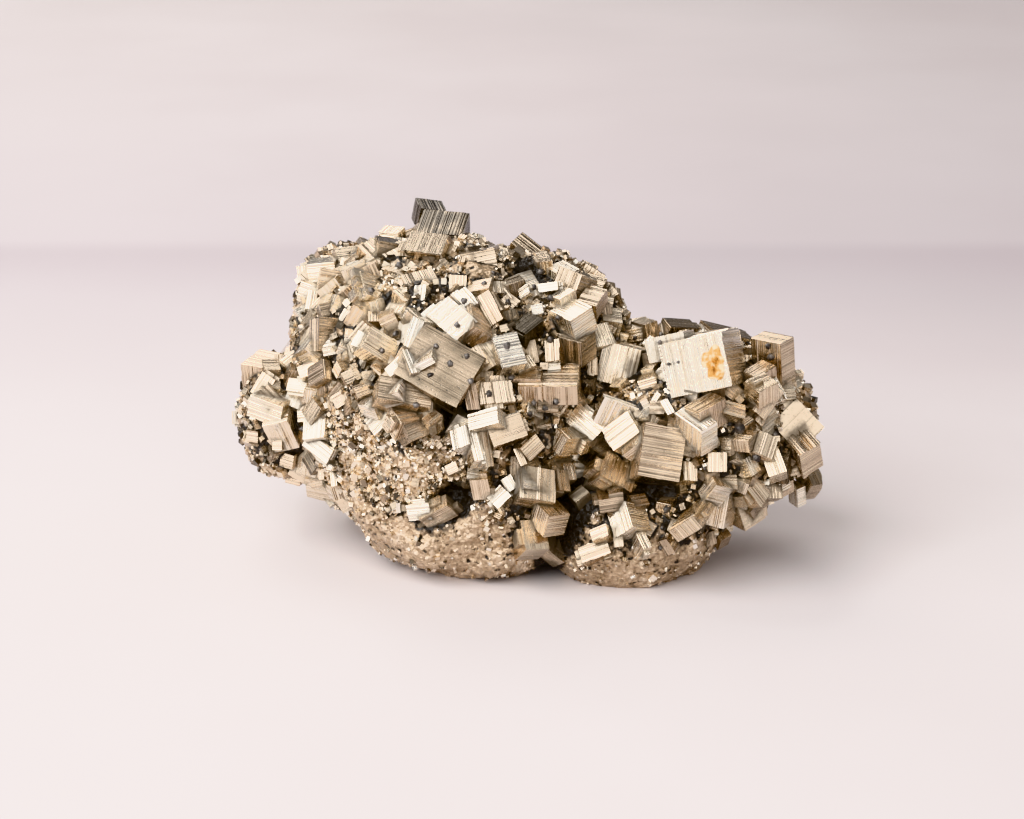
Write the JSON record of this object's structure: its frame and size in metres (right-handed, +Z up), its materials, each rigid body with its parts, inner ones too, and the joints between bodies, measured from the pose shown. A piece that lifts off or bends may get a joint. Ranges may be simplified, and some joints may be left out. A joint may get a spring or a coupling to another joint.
{
  "type": "pyrite specimen",
  "caption": "Natural pyrite mineral specimen: striated cubic crystals grown together on a granular matrix, with a flat resting face underneath, for display or study.",
  "frame": {"origin": "middle of the bounding box's bottom face, which lies in the flat resting face", "axes": "+X along the specimen's length towards the lobe with the largest cube, +Y away from the displayed front, +Z up"},
  "size_m": [0.0828, 0.0526, 0.0449],
  "materials": {
    "pyrite": "metallic pale brass, striated faces, granular between"
  },
  "bodies": {
    "root": {"pyrite_cluster": "pyrite"}
  },
  "joints": []
}
